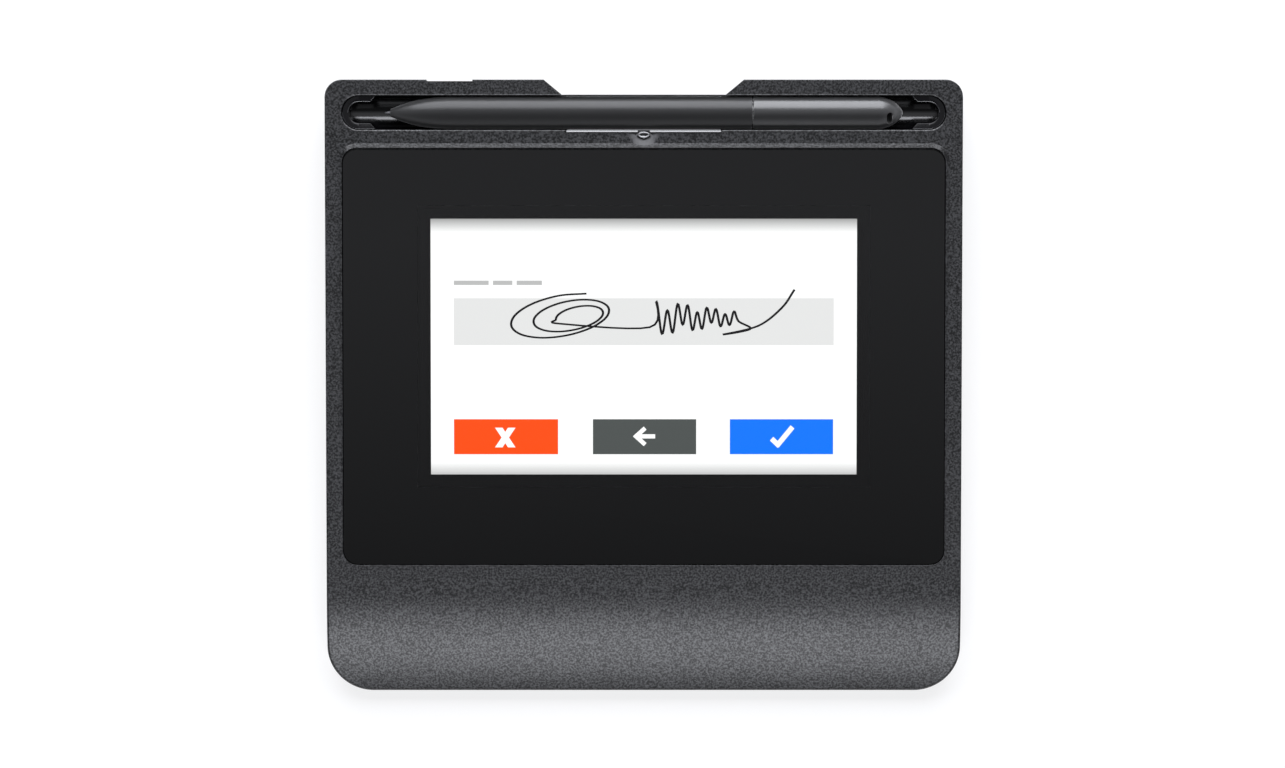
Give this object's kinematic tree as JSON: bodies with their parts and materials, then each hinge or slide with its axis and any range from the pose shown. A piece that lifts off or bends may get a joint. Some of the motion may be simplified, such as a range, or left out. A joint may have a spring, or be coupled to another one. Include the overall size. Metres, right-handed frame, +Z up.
{
  "type": "signature pad",
  "caption": "Flat counter signature pad with a glass-covered display, a sloping palm rest and a pen lying in a tray along the rear edge.",
  "frame": {"origin": "on the table under the middle of the case's outline", "axes": "+X to the right of the person who signs, along the pen; +Y to the rear edge, where the pen lies; +Z up"},
  "size_m": [0.161, 0.155, 0.0195],
  "materials": {
    "case": "fine spark-eroded texture, dark grey",
    "glass": "anti-glare glass with a black printed border",
    "tape": "black foam tape",
    "steel": "satin",
    "display": "lit liquid crystal panel",
    "diffuser": "milky",
    "board": "green solder resist on glass fibre",
    "carrier": "moulded black",
    "chip": "moulded black",
    "connector": "ivory moulding",
    "ribbon": "amber polyimide film",
    "tray": "polished black",
    "label": "blank grey film label",
    "rubber": "matt black",
    "pen": "satin dark grey",
    "pen_tail": "smooth dark grey, a shade lighter than the barrel",
    "nib": "grey acetal",
    "ferrite": "sintered ferrite",
    "copper": "enamelled copper wire wound as one sleeve"
  },
  "bodies": {
    "case": {"backlight": "diffuser", "blank_label": "label", "board_screw_1": "steel", "board_screw_2": "steel", "board_screw_3": "steel", "board_screw_4": "steel", "bottom_cover": "case", "carrier_screw_1": "steel", "carrier_screw_2": "steel", "carrier_screw_3": "steel", "carrier_screw_4": "steel", "case_screw_1": "steel", "case_screw_2": "steel", "case_screw_3": "steel", "case_screw_4": "steel", "case_screw_5": "steel", "case_screw_6": "steel", "controller_chip": "chip", "cover_glass": "glass", "display_bezel": "steel", "display_carrier": "carrier", "display_connector": "connector", "display_panel": "display", "display_ribbon": "ribbon", "driver_chip": "chip", "foot_front_left": "rubber", "foot_front_right": "rubber", "foot_rear_left": "rubber", "foot_rear_right": "rubber", "glass_tape": "tape", "lock_plate": "steel", "main_board": "board", "pen_tray": "tray", "sensor_board": "board", "sensor_connector": "connector", "sensor_ribbon": "ribbon", "shield_plate": "steel", "tether_eyelet": "steel", "top_cover": "case", "tray_clip_left": "tray", "tray_clip_right": "tray", "usb_shell": "steel", "usb_tongue": "chip"},
    "pen": {"pen_barrel": "pen", "pen_tail": "pen_tail", "ferrite_core": "ferrite", "pen_coil": "copper", "pressure_sensor": "chip", "pen_board": "board", "pen_capacitor": "connector"},
    "nib": {"pen_nib": "nib"}
  },
  "joints": [
    {"name": "pen_lift", "type": "slide", "parent": "case", "child": "pen", "axis": [0, 0, 1], "range_m": [0, 0.06]},
    {"name": "nib_press", "type": "slide", "parent": "pen", "child": "nib", "axis": [1, 0, 0], "range_m": [0, 0.0005], "stiffness_N_per_m": 1500}
  ]
}
